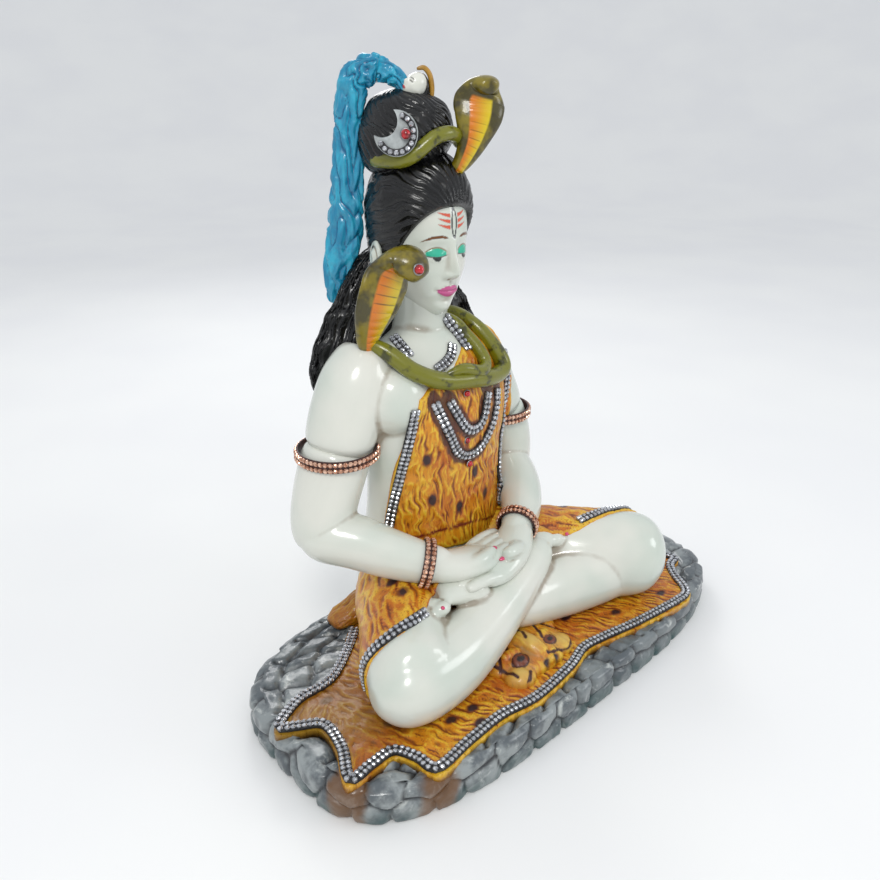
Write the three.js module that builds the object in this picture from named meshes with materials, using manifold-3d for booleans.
// A painted, cast figure of Shiva, seated in the lotus position on a tiger skin over an oval of
// cobbles. The casting is one piece. The stone chains, the copper bangles and the red gems are
// separate pieces glued on to it.
//
// Millimetres, +Z up, the figure facing -Y. The origin is on the ground under the middle of the base.

import * as THREE from 'three';
import { mergeVertices } from 'three/addons/utils/BufferGeometryUtils.js';
import Module from 'manifold-3d';

const wasm = await Module();
wasm.setup();

// Driving sizes of the whole and of the base.
const totalHeight = 419;
const baseLength = 404;
const baseDepth = 196;
const baseHeight = 27;
const baseFullness = 3.5;
const baseSkew = 0.023;
const stoneLength = 36;
const stoneBulge = 3;
const matThickness = 4;
const furRelief = 0.7;

// Driving sizes of what is glued on: two rows of stones on a flat backing, bangles and gems.
const chainWidth = 7.2;
const chainThickness = 2.4;
const chainStep = 11;
const bangleWidth = 8;
const bangleThickness = 2.5;
const armletSlack = 2;
const gemSize = 6;
const pendantSize = 4.4;
const restGap = 0.3;

// The figure's forms keep their proportions to its own height above the base. The tables below are
// drawn with the spine at x = y = 0, the base's top at drawnSeat and the water's crest at drawnTop.
const drawnSeat = 27;
const drawnTop = 419;
const share = (totalHeight - baseHeight) / (drawnTop - drawnSeat);
const spineX = -29;
const spineY = 46;

const X = [1, 0, 0];
const Y = [0, 1, 0];
const Z = [0, 0, 1];

function place([x, y, z]) {
  return new THREE.Vector3(
    spineX + share * x,
    spineY + share * y,
    baseHeight + share * (z - drawnSeat),
  );
}

// Solids: a closed three.js geometry becomes one that can be joined and cut.
function weldedSolid(geometry) {
  return new wasm.Manifold(new wasm.Mesh({
    numProp: 3,
    vertProperties: Float32Array.from(geometry.attributes.position.array),
    triVerts: Uint32Array.from(geometry.index.array),
  }));
}

function toSolid(geometry) {
  const bare = geometry.clone();
  bare.deleteAttribute('normal');
  bare.deleteAttribute('uv');
  return weldedSolid(mergeVertices(bare, 1e-3));
}

function toGeometry(solid) {
  const mesh = solid.getMesh();
  const geometry = new THREE.BufferGeometry();
  geometry.setAttribute('position', new THREE.BufferAttribute(mesh.vertProperties, 3));
  geometry.setIndex(new THREE.BufferAttribute(mesh.triVerts, 1));
  return geometry;
}

function join(solids) {
  return solids.reduce((whole, next) => whole.add(next));
}

// A rounded form along a path. Each row of the table is a place and the form's half width and half
// depth there: [x, y, z, wide, deep]. The width lies along the vector across.
function limb(rows, { across = X, sides = 10, rings = 8, blunt = 5, carve = null } = {}) {
  const path = new THREE.CatmullRomCurve3(rows.map(place), false, 'catmullrom', 0.5);
  const girth = new THREE.CatmullRomCurve3(
    rows.map((row) => new THREE.Vector3(row[3], row[4], 0).multiplyScalar(share)),
    false, 'catmullrom', 0.5,
  );
  const skin = new THREE.SphereGeometry(1, sides, rings);
  const spot = skin.attributes.position;
  for (let i = 0; i < spot.count; i += 1) {
    const t = Math.acos(THREE.MathUtils.clamp(spot.getY(i), -1, 1)) / Math.PI;
    const round = (1 - Math.abs(2 * t - 1) ** blunt) ** (1 / blunt);
    const angle = Math.atan2(spot.getZ(i), spot.getX(i));
    const tangent = path.getTangent(t);
    const reference = new THREE.Vector3(...(typeof across === 'function' ? across(t) : across));
    const wideAxis = reference.addScaledVector(tangent, -reference.dot(tangent)).normalize();
    const deepAxis = tangent.clone().cross(wideAxis);
    const half = girth.getPoint(t);
    const relief = carve ? carve(angle, t) * share * Math.min(1, 2 * round) : 0;
    const point = path.getPoint(t);
    point.addScaledVector(wideAxis, (half.x + relief) * round * Math.cos(angle));
    point.addScaledVector(deepAxis, (half.y + relief) * round * Math.sin(angle));
    spot.setXYZ(i, point.x, point.y, point.z);
  }
  return toSolid(skin);
}

// An egg shape at one place: half sizes along x, y and z, turned about z by spin degrees.
function egg(centre, halves, { spin = 0, sides = 7, rings = 4 } = {}) {
  const ball = new THREE.SphereGeometry(1, sides, rings);
  ball.rotateX(Math.PI / 2);
  ball.scale(...halves.map((half) => half * share));
  ball.rotateZ(THREE.MathUtils.degToRad(spin));
  ball.translate(...place(centre).toArray());
  return toSolid(ball);
}

// Locks of hair stand out as ridges round a form: so many of them, so high.
const locks = (number, height) => (angle) => height * Math.sign(Math.cos(number * angle) + 1e-6);

// Scales or waves across a form: so many along it, so high.
const waves = (number, height) => (angle, t) => height * Math.cos(2 * Math.PI * number * t);

// Heaped rows of one closed outline: each ring is the outline at a share of its size and a height.
function heap(edge, rings) {
  const around = edge.length;
  const block = new THREE.SphereGeometry(1, around, rings.length - 1);
  const spot = block.attributes.position;
  for (let i = 0; i < spot.count; i += 1) {
    const column = i % (around + 1) % around;
    const [size, height] = rings[Math.floor(i / (around + 1))](column);
    spot.setXYZ(i, edge[column].x * size, edge[column].y * size, height);
  }
  return toSolid(block);
}

// A point of the base's plan, given as shares of its half length and half depth. The hand-laid base
// is a little askew.
function plan(along, across) {
  const x = (along * baseLength) / 2;
  return new THREE.Vector3(x, (across * baseDepth) / 2 + baseSkew * x, 0);
}

// The base: an oval of two courses of cobbles, flat below.
function makeBase() {
  const bow = (value) => Math.sign(value) * Math.abs(value) ** (2 / baseFullness);
  const corners = Array.from({ length: 64 }, (_, i) => {
    const angle = (i / 64) * 2 * Math.PI;
    return plan(bow(Math.cos(angle)), bow(Math.sin(angle)));
  });
  const oval = new THREE.CatmullRomCurve3(corners, true);
  const stones = Math.round(oval.getLength() / stoneLength);
  const edge = oval.getSpacedPoints(3 * stones).slice(0, 3 * stones);
  const bulge = (2 * stoneBulge) / baseDepth;
  const course = (size, height, shift) => (column) => (
    (column + shift) % 3 === 0 ? [size - bulge, height * 0.97] : [size, height]
  );
  return heap(edge, [
    () => [0, baseHeight],
    () => [0.88, baseHeight],
    course(0.985, baseHeight * 0.85, 0),
    () => [0.965, baseHeight * 0.5],
    course(1, baseHeight * 0.2, 1),
    () => [0.98, 0],
    () => [0, 0],
  ]);
}

// The skin's outline, as shares of the base's half length and half depth, ending in four paws.
const matOutline = [
  [-0.95, 0.19], [-0.99, 0.085], [-0.935, -0.01], [-0.88, -0.09], [-0.895, -0.3], [-0.948, -0.56],
  [-0.85, -0.59], [-0.777, -0.59], [-0.75, -0.71], [-0.72, -0.88], [-0.57, -0.86], [-0.42, -0.845],
  [-0.27, -0.89], [-0.07, -0.85], [0.045, -0.79], [0.155, -0.82], [0.3, -0.88], [0.533, -0.94],
  [0.63, -0.91], [0.7, -0.71], [0.75, -0.61], [0.815, -0.555], [0.795, -0.385], [0.737, -0.175],
  [0.775, 0.13], [0.7, 0.46], [0.446, 0.61], [0.25, 0.78], [-0.04, 0.83], [-0.33, 0.775],
  [-0.515, 0.61], [-0.6, 0.46], [-0.73, 0.285], [-0.855, 0.27],
];

const matEdge = matOutline.map((spot) => plan(...spot));

function makeMat() {
  const top = baseHeight + matThickness;
  const fur = (size, turn) => (column) => (
    [size, top + furRelief * ((column + turn) % 2 === 0 ? 1 : -1)]
  );
  return heap(matEdge, [
    () => [0, top],
    fur(0.7, 1), fur(0.85, 0),
    () => [1, top - 0.5],
    () => [1, baseHeight - 3],
    () => [0, baseHeight - 3],
  ]);
}

// Behind the right thigh a fold of the skin rises to the waist.
const foldRows = [
  [-46, 20, 40, 14, 11], [-58, 22, 37, 13, 10], [-71, 24, 34, 11, 7.5], [-82, 24, 31, 8, 5],
];

function makeFold() {
  return limb(foldRows, { across: Y, sides: 8, rings: 5 });
}

// The tiger's head lies on the front of the skin, nose forward.
function makeTigerHead() {
  const parts = [
    egg([4, -90, 33], [33, 25, 11], { sides: 10, rings: 5 }),
    egg([4, -106, 34], [15, 11, 8], { sides: 8 }),
    egg([4, -115, 36], [6, 4, 4], { sides: 6 }),
    limb([[4, -86, 44, 7, 4], [4, -99, 45, 6, 5], [4, -112, 41, 6, 4]], { sides: 6, rings: 4 }),
  ];
  for (const side of [-1, 1]) {
    parts.push(egg([4 + side * 16, -99, 42], [6.5, 5, 3]));
    parts.push(egg([4 + side * 31, -82, 38], [8, 5, 8]));
    parts.push(egg([4 + side * 8, -110, 36], [8, 7, 6]));
  }
  return parts;
}

// Trunk, neck and head.
const trunkRows = [
  [1, 10, 30, 62, 42], [1, 10, 60, 62, 42], [3, 7, 90, 60, 38], [4, 6, 122, 57, 35],
  [4, 5, 155, 57, 34.5], [2, 5, 190, 61, 38], [0, 7, 215, 60, 34], [-1, 11, 235, 47, 26],
  [-1, 14, 250, 27, 19],
];
const neckRows = [[-1, 15, 236, 24, 22], [-1, 13, 258, 18.5, 19], [-1, 10, 285, 19, 20]];
const headRows = [
  [-1, -8, 261, 8, 8], [-1, -2, 270, 16.5, 17], [-1, 4, 282, 22.5, 23.5], [-1, 8, 296, 26.5, 28],
  [-1, 10, 310, 28, 31], [-1, 12, 325, 28, 32.5], [-1, 13, 340, 25, 29], [-1, 14, 350, 13, 17],
];

function makeHead() {
  const features = [
    limb(headRows, { sides: 12, rings: 9, blunt: 3.5 }),
    limb(
      [[-1, -18, 309, 2.4, 3], [-1, -21, 300, 3, 3.5], [-1, -24, 290, 4.6, 3.8], [-1, -19, 286, 4, 3]],
      { sides: 6, rings: 4 },
    ),
    egg([-1, -18, 278], [7.5, 4, 3]),
    egg([-1, -13, 267], [7.5, 6, 6]),
  ];
  for (const side of [-1, 1]) {
    features.push(egg([-1 + side * 11.5, -15.5, 302.5], [6.5, 4.5, 4.2]));
    features.push(egg([-1 + side * 28.5, 10, 297], [3.5, 6.5, 10.5], { spin: side * 20 }));
  }
  return features;
}

// Cloth follows the form beneath it at its own thickness, within an outline seen along one axis.
const clothThickness = 1.5;

const padded = (rows) => rows.map(([x, y, z, wide, deep]) => (
  [x, y, z, wide + clothThickness, deep + clothThickness]
));

function frontCut(outline, near, far) {
  const shape = new THREE.Shape(outline.map(([x, z]) => {
    const spot = place([x, 0, z]);
    return new THREE.Vector2(spot.x, spot.z);
  }));
  const block = new THREE.ExtrudeGeometry(shape, { depth: share * (far - near), bevelEnabled: false });
  block.rotateX(Math.PI / 2);
  block.translate(0, place([0, far, 0]).y, 0);
  return toSolid(block);
}

function topCut(outline, low, high) {
  const shape = new THREE.Shape(outline.map(([x, y]) => {
    const spot = place([x, y, 0]);
    return new THREE.Vector2(spot.x, spot.y);
  }));
  const block = new THREE.ExtrudeGeometry(shape, { depth: share * (high - low), bevelEnabled: false });
  block.translate(0, 0, place([0, 0, low]).z);
  return toSolid(block);
}

// The tiger apron hangs from the left shoulder down the front, as far as the lap.
const apronOutline = [
  [-38, 214], [-43, 191], [-47, 166], [-49, 136], [-52, 110], [-30, 96], [0, 92], [34, 92],
  [56, 98], [68, 150], [68, 200], [54, 232], [30, 250], [12, 238], [-8, 224],
];

// The loincloth covers each thigh behind its chain.
const rightLoinOutline = [
  [-57, -62], [-75, -74], [-95, -79], [-109, -75], [-128, -64], [-128, 40], [0, 40], [0, -40],
];
const leftLoinOutline = [
  [62, -68], [80, -76], [98, -79], [116, -81], [150, -84], [170, -60], [120, 40], [0, 40], [0, -30],
];

const trunkSkin = { sides: 13, rings: 9, blunt: 7 };

function makeTrunk() {
  const apron = limb(padded(trunkRows), trunkSkin).intersect(frontCut(apronOutline, -60, 0));
  return [limb(trunkRows, trunkSkin), limb(neckRows, { sides: 12, rings: 5 }), apron];
}

function makeLoincloth(thigh) {
  return [
    limb(padded(rightThighRows), thigh).intersect(topCut(rightLoinOutline, 29, 110)),
    limb(padded(leftThighRows), thigh).intersect(topCut(leftLoinOutline, 29, 110)),
  ];
}

// Arms and hands. The right hand lies on the left one, palms up, with the thumbs' tips together.
const rightUpperArmRows = [
  [-50, 9, 243, 17, 18], [-60, 8, 224, 24, 24], [-70, 8, 204, 24, 24.5], [-79, 8, 178, 23.5, 23.5],
  [-89, 8, 152, 22.5, 23], [-96, 6, 130, 21, 21], [-98, 4, 115, 16.5, 16.5],
];
const leftUpperArmRows = [
  [41, 11, 235, 16, 17], [50, 11, 216, 22, 23], [62.5, 12, 193, 22.5, 23], [75.5, 11, 167, 21.5, 22],
  [84.5, 9, 142, 20, 20.5], [86.5, 5, 116, 16, 17],
];
const rightForearmRows = [
  [-103, 14, 124, 14, 16], [-97, 2, 124, 18.5, 19.5], [-84, -14, 120.5, 18.5, 18.5],
  [-68, -32, 112.5, 17, 16], [-51, -49, 106, 14.5, 13.5], [-37, -57, 103.5, 13, 10],
];
const leftForearmRows = [
  [82.5, 17, 124, 14, 15], [80.5, 3, 121, 18, 18], [71.5, -17, 114.5, 18, 18],
  [55, -37.5, 108.5, 16, 15.5], [35.5, -52, 104.5, 12.8, 12.5], [22.5, -57, 102, 12, 10.5],
];

function makeHand(palmRows, fingerRoot, fingerTip, thumbRows, spread) {
  const fingers = [-1.5, -0.5, 0.5, 1.5].map((step) => {
    const along = (t, lift) => [
      fingerRoot[0] + (fingerTip[0] - fingerRoot[0]) * t * (1 - Math.abs(step - 0.2) * 0.08),
      fingerRoot[1] + (fingerTip[1] - fingerRoot[1]) * t + step * spread,
      fingerRoot[2] + (fingerTip[2] - fingerRoot[2]) * t + lift,
    ];
    return limb(
      [[...along(0, 0), 4.7, 4.4], [...along(0.5, 1.5), 4.5, 4.2], [...along(1, 0), 3.8, 3.4]],
      { across: Y, sides: 5, rings: 3 },
    );
  });
  return [
    limb(palmRows, { across: Y, sides: 7, rings: 4, blunt: 4 }),
    limb(thumbRows, { across: Y, sides: 5, rings: 3 }),
    ...fingers,
  ];
}

function makeArms() {
  const upper = { sides: 9, rings: 7 };
  const lower = { across: Z, sides: 9, rings: 6 };
  return [
    limb(rightUpperArmRows, upper), limb(leftUpperArmRows, upper),
    limb(rightForearmRows, lower), limb(leftForearmRows, lower),
    ...makeHand(
      [[-50, -50, 105, 12, 12], [-42, -56, 103, 13, 11], [-28, -60, 101, 15, 10], [-2, -61, 99, 17, 8]],
      [-14, -60, 101], [25, -55, 101],
      [[-36, -67, 102, 6, 6], [-20, -70, 105, 5.2, 5.2], [-5, -67, 106.5, 4.4, 4.2]], 7,
    ),
    ...makeHand(
      [
        [36, -52, 104, 12, 11.5], [27, -58, 101, 13.5, 11], [14, -64, 96, 16, 11],
        [-4, -67, 91.5, 17, 10], [-24, -69, 90, 16, 7],
      ],
      [-2, -68, 90.5], [-45, -66, 93],
      [[24, -67, 99, 6.5, 6], [10, -74, 103, 5.6, 5.4], [-2, -76, 105, 4.8, 4.5]], 7,
    ),
  ];
}

// Legs, crossed in full lotus: the right shin lies over the left one, each foot on the other thigh.
const rightThighRows = [
  [-26, 9, 62, 34, 27], [-42, -10, 62, 37, 32], [-62, -40, 60, 35, 32], [-84, -70, 57, 33, 31],
  [-96, -90, 57, 30, 29], [-101, -102, 57, 22, 21],
];
const leftThighRows = [
  [26, 16, 62, 36, 32], [42, -8, 62, 38, 35], [72, -42, 62, 36, 33], [100, -72, 62, 35, 33],
  [130, -96, 61, 33, 31], [145, -108, 60, 23, 22],
];
const rightShinRows = [
  [-124, -82, 54, 15, 16], [-103, -87, 54, 26, 25], [-66, -87, 54, 26, 24], [-26, -80, 60, 23, 21],
  [14, -72, 72, 18, 17], [42, -66, 83, 13, 13], [52, -64, 86, 10, 10],
];
const leftShinRows = [
  [162, -84, 57, 16, 16], [138, -86, 57, 27, 26], [94, -84, 55, 27, 24], [46, -76, 53, 23, 20],
  [4, -72, 60, 18, 18], [-24, -68, 76, 13, 13],
];

function makeFoot(rows, firstToe, lastToe) {
  const toes = [0, 1, 2, 3, 4].map((i) => {
    const size = i === 0 ? 5 : 4.4 - 0.25 * i;
    const spot = firstToe.map((value, k) => value + ((lastToe[k] - value) * i) / 4);
    return egg(spot, [size * 1.4, size, size], { sides: 5, rings: 3 });
  });
  return [limb(rows, { across: Y, sides: 8, rings: 4, blunt: 4 }), ...toes];
}

function makeLegs() {
  const thigh = { across: Z, sides: 10, rings: 7 };
  const shin = { across: Z, sides: 10, rings: 7 };
  return [
    limb(rightThighRows, thigh), limb(leftThighRows, thigh), ...makeLoincloth(thigh),
    limb(rightShinRows, shin), limb(leftShinRows, shin),
    ...makeFoot(
      [[-18, -72, 82, 12, 11], [-36, -66, 87, 13, 9], [-52, -60, 88, 15, 7]],
      [-60, -75, 87], [-65, -47, 88],
    ),
    ...makeFoot(
      [[38, -62, 82, 12, 11], [50, -59, 87, 13, 9], [60, -58, 90, 13, 7]],
      [62, -68, 88], [68, -44, 93],
    ),
  ];
}

// Hair: a cap swept back from the brow, a knot above it and a mane down the back.
function makeHair() {
  const cap = limb(
    [
      [-1, 22, 268, 26, 18], [-1, 18, 290, 31.5, 29], [-1, 15, 314, 33.5, 35.5],
      [-1, 14, 331, 34, 37], [-3, 14, 346, 31, 33.5], [-5, 15, 362, 26, 26],
    ],
    { sides: 14, rings: 7, carve: locks(7, 0.9) },
  );
  const face = limb(
    [[-1, -90, 292, 29, 40], [-1, -40, 292, 29, 40], [-1, 8, 294, 29, 38]],
    { sides: 12, rings: 6, blunt: 4 },
  );
  const knot = limb(
    [
      [-5, 16, 352, 27, 27], [-7, 18, 365, 30, 30], [-7, 18, 379, 29, 29], [-8, 18, 391, 23, 23],
      [-8, 18, 399, 12, 12],
    ],
    { sides: 14, rings: 5, carve: locks(7, 0.9) },
  );
  const mane = limb(
    [
      [-1, 36, 304, 36, 16], [0, 38, 276, 50, 18], [0, 38, 250, 68, 20], [0, 38, 222, 78, 18],
      [0, 40, 190, 72, 12],
    ],
    { sides: 14, rings: 7, carve: locks(7, 1.1) },
  );
  return [cap.subtract(face), knot, mane];
}

// The river's head on the knot, in its veil, and the water that springs from its mouth.
function makeRiver() {
  const water = [
    [-10, 10, 393, 3, 3], [-13, 14, 403, 3.4, 3.4], [-18, 20, 409, 5, 4.5], [-25, 28, 409.9, 8.5, 5.5],
    [-31, 37, 404, 9.5, 6], [-33.5, 40.5, 388, 9.5, 6], [-34.5, 42, 365, 10, 6],
    [-36.5, 44, 335, 11, 6], [-38, 46, 310, 12, 7], [-41.5, 51, 285, 11, 7], [-44, 55, 264, 6, 5],
  ];
  return [
    limb(water, { across: [-0.6, 0.8, 0.2], sides: 6, rings: 14, carve: waves(7, 0.9) }),
    egg([-8, 10, 402], [6.5, 6, 8.5]),
    egg([-12, 15, 399.5], [3, 3, 3], { sides: 6, rings: 4 }),
    limb([[-3, 6, 391, 7, 8], [-3, 7, 400, 7.5, 8.5], [-5, 9, 410, 5, 6]], { sides: 8, rings: 5 }),
  ];
}

// Two cobras: one round the knot, one over the shoulders, each with its hood up.
const knotCobraRows = [
  [-24, 34, 358, 4.5, 4.5], [-32, 14, 358, 4.5, 4.5], [-26, -6, 360, 4.5, 4.5],
  [-10, -14, 372, 4.5, 4.5], [4, -14, 373, 4.5, 4.5], [17, -6, 366, 4.5, 4.5],
];
const knotHoodRows = [
  [8, -8, 350, 5, 4.5], [11, -14, 356, 6, 5], [16, -18, 368, 9.5, 5], [20, -19, 382, 15, 5],
  [23, -17, 392, 16, 5.5], [24, -20, 400, 11, 6], [22, -27, 399, 7.5, 6],
];
const shoulderCobraRows = [
  [10, 26, 254, 5, 5], [29, 14, 253, 5, 5], [36, -4, 244.5, 5.5, 5.5], [43, -18, 228, 6, 6],
  [44, -24, 218, 6, 6], [34, -28, 215, 6, 6], [18, -32, 217, 6, 6], [2, -33, 220, 6, 6],
  [-14, -31, 222, 6, 6], [-27, -28, 226, 6, 6], [-39, -22, 233, 6, 6], [-48, -12, 243, 6, 6],
  [-56, -2, 250, 6, 6],
];
const tailRows = [
  [8, 22, 257, 4, 4], [13, -4, 253, 4, 4], [18, -13, 244, 4.2, 4.2], [22, -22, 234, 4.5, 4.5],
  [22, -28, 226, 4.5, 4.5], [12, -34, 224, 4.5, 4.5], [-4, -34, 229, 4, 4],
  [-17, -31, 227, 2.5, 2.5],
];
const shoulderHoodRows = [
  [-58, 0, 245, 7, 5.5], [-58, -4, 257, 11, 5.5], [-56, -9, 271, 17, 5.5],
  [-52, -12, 285, 18.5, 5], [-47, -13, 297, 16, 6], [-43, -18, 304, 13, 7.5],
  [-40, -25, 301, 12, 9], [-37, -31, 293, 9, 7.5],
];

function makeCobras() {
  const hood = { sides: 8, rings: 9, carve: waves(4, 0.5) };
  const body = { across: Z, sides: 5 };
  return [
    limb(knotCobraRows, { ...body, rings: 10 }),
    limb(knotHoodRows, { ...hood, across: [0.87, -0.5, 0] }),
    limb(shoulderCobraRows, { ...body, rings: 16 }),
    limb(tailRows, { ...body, rings: 9 }),
    limb(shoulderHoodRows, { ...hood, across: [1, 0, 0.1] }),
  ];
}

// The crescent moon on the knot: a fat plate with its horns up and outward.
const crescent = {
  centre: [-30.3, -1, 374.2], reach: 13, bite: 9.3, offset: 10.8, lean: 140, turn: -42, depth: 7,
  band: 4, bare: 0.4, gem: [-30.6, -10.2, 373.9],
};

const moonLift = THREE.MathUtils.degToRad(crescent.lean);

// A plate cut to a shape and stood up as the crescent is, so far in front of its back.
function moonPlate(shape, ahead, depth) {
  const plate = new THREE.ExtrudeGeometry(shape, { depth, bevelEnabled: false, curveSegments: 7 });
  plate.translate(0, 0, ahead);
  plate.rotateX(Math.PI / 2);
  plate.rotateZ(THREE.MathUtils.degToRad(crescent.turn));
  plate.translate(...place(crescent.centre).toArray());
  return toSolid(plate);
}

// The horns are where the crescent's two circles meet.
const hornAlong = (crescent.reach ** 2 - crescent.bite ** 2 + crescent.offset ** 2) / (2 * crescent.offset);
const hornAngle = Math.acos(hornAlong / crescent.reach);

function makeCrescent() {
  const { reach, bite, offset, depth } = crescent;
  const bitten = new THREE.Vector2(Math.cos(moonLift), Math.sin(moonLift)).multiplyScalar(share * offset);
  const inner = Math.acos((hornAlong - offset) / bite);
  const shape = new THREE.Shape();
  shape.absarc(0, 0, share * reach, moonLift + hornAngle, moonLift - hornAngle + 2 * Math.PI, false);
  shape.absarc(bitten.x, bitten.y, share * bite, moonLift - inner, moonLift + inner - 2 * Math.PI, true);
  return moonPlate(shape, 0, share * depth);
}

const whole = join([
  makeBase(), makeMat(), makeFold(), ...makeTigerHead(), ...makeTrunk(), ...makeHead(), ...makeHair(),
  ...makeArms(), ...makeLegs(), ...makeRiver(), ...makeCobras(), makeCrescent(),
]);

const paint = new THREE.MeshStandardMaterial({ color: 0xd3d5cd, roughness: 0.2, metalness: 0 });
const silver = new THREE.MeshStandardMaterial({ color: 0xb9bcc2, roughness: 0.25, metalness: 0.8 });
const copper = new THREE.MeshStandardMaterial({ color: 0xa9714c, roughness: 0.3, metalness: 0.7 });
const ruby = new THREE.MeshStandardMaterial({ color: 0xa30d22, roughness: 0.1, metalness: 0 });

const group = new THREE.Group();

function addPiece(name, solid, material) {
  const piece = new THREE.Mesh(toGeometry(solid), material);
  piece.name = name;
  group.add(piece);
}

// What is glued on keeps a gap to what it is glued to: it is cut by copies of that, swollen by the gap.
const taken = [];

function keepOff(solid) {
  const swollen = toGeometry(solid);
  swollen.computeVertexNormals();
  const { position, normal } = swollen.attributes;
  for (let i = 0; i < position.array.length; i += 1) {
    position.array[i] += restGap * normal.array[i];
  }
  taken.push(weldedSolid(swollen), solid);
}

// Each cut is worked out before the next.
function cutBy(solid, other) {
  return weldedSolid(toGeometry(solid.subtract(other)));
}

function addGlued(name, solid, material) {
  const fitted = taken.reduce(cutBy, solid);
  addPiece(name, fitted, material);
  keepOff(fitted);
}

addPiece('figure', whole, paint);
keepOff(whole);

// Chains and gems are laid on the casting's surface, which rays find: each ray starts outside and
// runs towards the aim.
const surface = new THREE.Mesh(toGeometry(whole), new THREE.MeshBasicMaterial());
const rayStart = 14;
const reachOver = 2;
const bedding = 3 * restGap;

function touch(start, aim) {
  const inward = aim.clone().sub(start).normalize();
  const ray = new THREE.Raycaster(start.clone().addScaledVector(inward, -rayStart), inward);
  return ray.intersectObject(surface)[0];
}

// A flat strip bedded along spots, each with the outward direction there. Its two sides are raised
// where the surface beside the spots is higher.
function strip(spots, normals) {
  const steps = spots.length - 1;
  const bar = new THREE.BoxGeometry(1, 1, 1, 1, 1, steps);
  const corner = bar.attributes.position;
  for (let i = 0; i < corner.count; i += 1) {
    const k = Math.round((corner.getZ(i) + 0.5) * steps);
    const ahead = spots[Math.min(k + 1, steps)].clone().sub(spots[Math.max(k - 1, 0)]);
    const side = normals[k].clone().cross(ahead).normalize();
    const point = spots[k].clone().addScaledVector(side, corner.getX(i) * chainWidth);
    const below = point.clone().sub(normals[k]);
    const hit = touch(point, below);
    const rise = hit ? rayStart - hit.distance : 0;
    const lift = bedding + THREE.MathUtils.clamp(rise, 0, reachOver);
    point.addScaledVector(normals[k], lift + (corner.getY(i) + 0.5) * chainThickness);
    corner.setXYZ(i, point.x, point.y, point.z);
  }
  return toSolid(bar);
}

// Each vector of a list becomes the mean of itself and its neighbours.
function evened(vectors) {
  return vectors.map((_, k) => {
    const near = vectors.slice(Math.max(0, k - 1), k + 2);
    return near.reduce((sum, next) => sum.add(next), new THREE.Vector3()).divideScalar(near.length);
  });
}

function layChain(points, aim) {
  const route = new THREE.CatmullRomCurve3(points.map((point) => new THREE.Vector3(...point)));
  const steps = Math.max(2, Math.round((share * route.getLength()) / chainStep));
  const hits = route.getSpacedPoints(steps).map((p) => touch(place(p.toArray()), place(aim(p))));
  const normals = evened(evened(hits.map((hit) => hit.face.normal)));
  return strip(hits.map((hit) => hit.point), normals.map((normal) => normal.normalize()));
}

const inwards = (p) => [1, 6, p.z];
const backwards = (p) => [p.x, p.y + 1, p.z];
const downAndBack = (p) => [p.x, p.y + 0.6, p.z - 0.8];
const intoRightKnee = () => [-86, -70, 50];
const intoLeftKnee = () => [108, -78, 55];

const chains = {
  apron_chain_right: [
    inwards, [-36, -24, 209], [-41, -23.3, 190], [-43.2, -18.8, 170.6], [-45.6, -13.5, 149],
    [-48.5, -9.5, 126], [-49, -8, 116],
  ],
  apron_chain_neck: [
    downAndBack, [-18, -23, 230], [-10, -20, 229], [-3, -19, 232], [2, -16, 237], [4, -13, 240],
  ],
  apron_chain_left: [
    backwards, [59, 2, 224], [60, -6, 213], [59, -12, 199], [58, -13, 180],
    [53, -14, 160], [50, -16, 142], [50, -16, 118], [47, -20, 107],
  ],
  necklace_outer: [
    inwards, [-25, -28, 209.5], [-18.8, -31.3, 193.7], [-12.8, -32.8, 179.4], [-6.4, -32.4, 168],
    [4.4, -31.8, 163], [16, -30.6, 166], [26.5, -30.7, 177], [32.3, -29.7, 191.5], [35.5, -27, 205],
  ],
  necklace_inner: [
    inwards, [-14, -30.6, 208.5], [-7.8, -33.4, 195.2], [-1.1, -34.5, 185.2], [6.5, -34.6, 182.4],
    [14.7, -33.3, 186.4], [19.8, -32, 199.5], [22, -30.5, 206.5],
  ],
  neck_strand_left: [
    backwards, [5.4, -4.7, 257.5], [11, -9.5, 249.6], [14.5, -14.4, 240], [14, -19, 234],
  ],
  neck_strand_right: [
    downAndBack, [-29, 8, 247.5], [-30.5, 3.7, 245.7], [-30.6, -4.6, 241.4], [-29.6, -10.5, 236.3],
  ],
  loin_chain_right: [
    intoRightKnee, [-72, -72, 87], [-83, -75, 88], [-95, -75, 87.5], [-106, -72, 83],
    [-115, -66, 71], [-118, -60, 52], [-120, -60, 42],
  ],
  loin_chain_left: [
    intoLeftKnee, [85, -72, 92], [98, -74, 95], [114, -76, 96], [130, -77, 93], [145, -76, 82],
    [153, -74, 68],
  ],
};
for (const [name, [aim, ...points]] of Object.entries(chains)) {
  addGlued(name, layChain(points, aim), silver);
}

// The skin's edge carries chains from one point of its outline to another.
const edgeInset = 0.6;

function layEdgeChain(first, last) {
  const inset = (k, reach) => {
    const at = (step) => matEdge[(k + step + matEdge.length) % matEdge.length];
    const along = at(1).clone().sub(at(-1)).normalize();
    return new THREE.Vector2(at(0).x - along.y * reach, at(0).y + along.x * reach);
  };
  const steps = Array.from({ length: last - first + 1 }, (_, i) => first + i);
  const shape = new THREE.Shape([
    ...steps.map((k) => inset(k, edgeInset)),
    ...steps.reverse().map((k) => inset(k, edgeInset + chainWidth)),
  ]);
  const band = new THREE.ExtrudeGeometry(shape, { depth: chainThickness, bevelEnabled: false });
  band.translate(0, 0, baseHeight + matThickness + bedding);
  return toSolid(band);
}

addGlued('mat_chain_left', layEdgeChain(-4, 15), silver);
addGlued('mat_chain_right', layEdgeChain(15, 25), silver);
addGlued('mat_chain_back', layEdgeChain(25, 29), silver);

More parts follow.
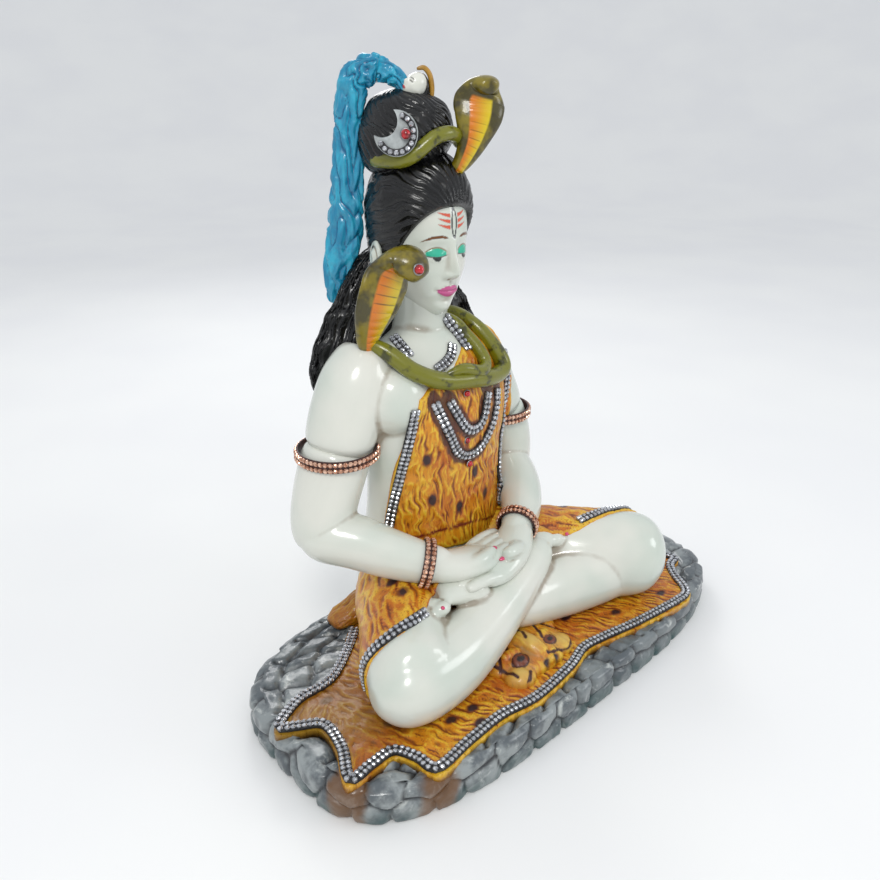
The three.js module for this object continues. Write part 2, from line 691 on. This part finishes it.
// The crescent's stones follow its outer edge, from near one horn to near the other.
function layMoonChain() {
  const outside = share * crescent.reach - edgeInset;
  const start = moonLift + hornAngle + crescent.bare;
  const end = moonLift - hornAngle - crescent.bare + 2 * Math.PI;
  const shape = new THREE.Shape();
  shape.absarc(0, 0, outside, start, end, false);
  shape.absarc(0, 0, outside - crescent.band, end, start, true);
  return moonPlate(shape, share * crescent.depth + restGap, crescent.band / 2);
}

addGlued('crescent_chain', layMoonChain(), silver);

// Bangles are rings about a row of an arm's table. The armlets hang level, and the bracelets stand
// square to the arm.
const bangleSides = 12;

const upright = new THREE.Vector3(...Z);

function bangle(rows, at, slack, axis) {
  const arm = share * Math.max(rows[at][3], rows[at][4]);
  const inner = (arm + slack + restGap) / Math.cos(Math.PI / bangleSides);
  const outer = inner + bangleThickness;
  const half = bangleWidth / 2;
  const profile = [[outer, -half], [outer, half], [inner, half], [inner, -half], [outer, -half]];
  const ring = new THREE.LatheGeometry(profile.map((p) => new THREE.Vector2(...p)), bangleSides);
  ring.applyQuaternion(new THREE.Quaternion().setFromUnitVectors(new THREE.Vector3(...Y), axis));
  ring.translate(...place(rows[at]).toArray());
  return toSolid(ring);
}

const alongArm = (rows, at) => place(rows[at + 1]).sub(place(rows[at - 1])).normalize();

addGlued('armlet_right', bangle(rightUpperArmRows, 3, armletSlack, upright), copper);
addGlued('armlet_left', bangle(leftUpperArmRows, 3, armletSlack, upright), copper);
addGlued('bracelet_right', bangle(rightForearmRows, 4, 0, alongArm(rightForearmRows, 4)), copper);
addGlued('bracelet_left', bangle(leftForearmRows, 4, 0, alongArm(leftForearmRows, 4)), copper);

// Gems: round ones, sunk a little into their settings.
function gem(point, size) {
  const hit = touch(place(point), place(backwards(new THREE.Vector3(...point))));
  const ball = new THREE.SphereGeometry(size / 2, 6, 4);
  const spot = hit.point.addScaledVector(hit.face.normal, size / 4);
  ball.translate(...spot.toArray());
  return toSolid(ball);
}

addGlued('crescent_gem', gem(crescent.gem, gemSize), ruby);
addGlued('cobra_gem', gem([-42.6, -34.2, 299.7], gemSize), ruby);
addGlued('pendant_top', gem([1.2, -31, 210], pendantSize), ruby);
addGlued('pendant_middle', gem([0, -33, 176.3], pendantSize), ruby);
addGlued('pendant_low', gem([4.7, -31.6, 156.4], pendantSize), ruby);

export default group;
